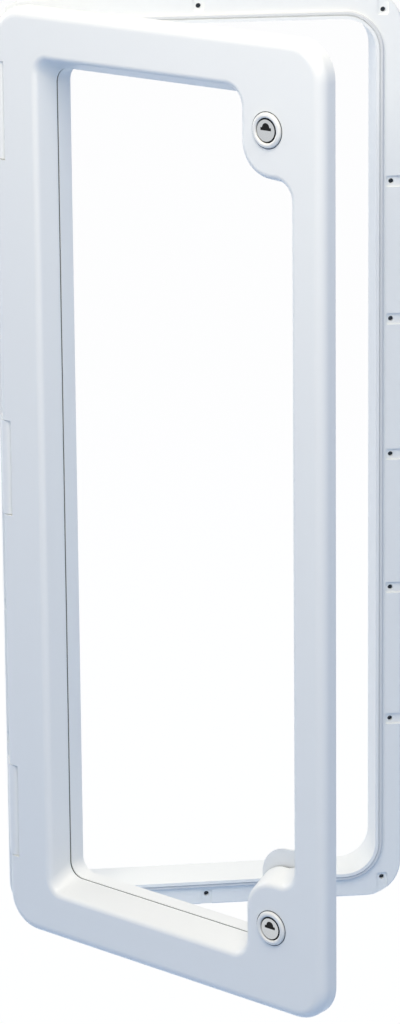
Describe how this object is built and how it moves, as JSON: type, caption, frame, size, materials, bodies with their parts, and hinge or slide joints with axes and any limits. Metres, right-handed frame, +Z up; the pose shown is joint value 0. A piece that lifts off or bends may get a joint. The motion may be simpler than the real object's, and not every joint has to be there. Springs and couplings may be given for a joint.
{
  "type": "caravan service door",
  "caption": "Tall service door for a caravan wall: a flanged frame with screw pockets and a hinged hollow leaf ring with corner cam locks.",
  "frame": {"origin": "on the flange's back face, mid-width, 14 mm above the frame's lower edge", "axes": "+X to the right seen from outside, +Y into the wall, +Z up"},
  "size_m": [0.316, 0.2746, 0.74],
  "materials": {
    "white_abs": "white moulded ABS, satin gloss",
    "seal_rubber": "pale grey soft seal",
    "pin_steel": "plain stainless steel",
    "bezel_plastic": "white moulded trim ring",
    "lock_zinc": "nickel-plated zinc",
    "key_black": "black shutter",
    "cam_steel": "zinc-plated steel"
  },
  "bodies": {
    "frame": {"fixed_frame": "white_abs", "frame_seal": "seal_rubber", "upper_hinge_bracket": "white_abs", "upper_hinge_pin": "pin_steel", "middle_hinge_bracket": "white_abs", "middle_hinge_pin": "pin_steel", "lower_hinge_bracket": "white_abs", "lower_hinge_pin": "pin_steel"},
    "leaf": {"door_front_frame": "white_abs", "door_rear_frame": "white_abs", "upper_hinge_high_lug": "white_abs", "upper_hinge_low_lug": "white_abs", "middle_hinge_high_lug": "white_abs", "middle_hinge_low_lug": "white_abs", "lower_hinge_high_lug": "white_abs", "lower_hinge_low_lug": "white_abs", "upper_lock_bezel": "bezel_plastic", "upper_lock_housing": "lock_zinc", "upper_lock_nut": "lock_zinc", "lower_lock_bezel": "bezel_plastic", "lower_lock_housing": "lock_zinc", "lower_lock_nut": "lock_zinc"},
    "upper_lock": {"upper_lock_plug": "lock_zinc", "upper_key_shutter": "key_black", "upper_lock_cam": "cam_steel", "upper_cam_screw": "cam_steel"},
    "lower_lock": {"lower_lock_plug": "lock_zinc", "lower_key_shutter": "key_black", "lower_lock_cam": "cam_steel", "lower_cam_screw": "cam_steel"}
  },
  "joints": [
    {"name": "door_hinge", "type": "hinge", "parent": "frame", "child": "leaf", "pos_m": [-0.1518, -0.0208, 0.356], "axis": [0, 0, -1], "range_deg": [-46, 124]},
    {"name": "upper_lock_turn", "type": "hinge", "parent": "leaf", "child": "upper_lock", "pos_m": [0.02491, -0.21271, 0.659], "axis": [-0.7193, -0.6947, 0], "range_deg": [0, 90]},
    {"name": "lower_lock_turn", "type": "hinge", "parent": "leaf", "child": "lower_lock", "pos_m": [0.02491, -0.21271, 0.053], "axis": [0.7193, 0.6947, 0], "range_deg": [0, 90]}
  ]
}
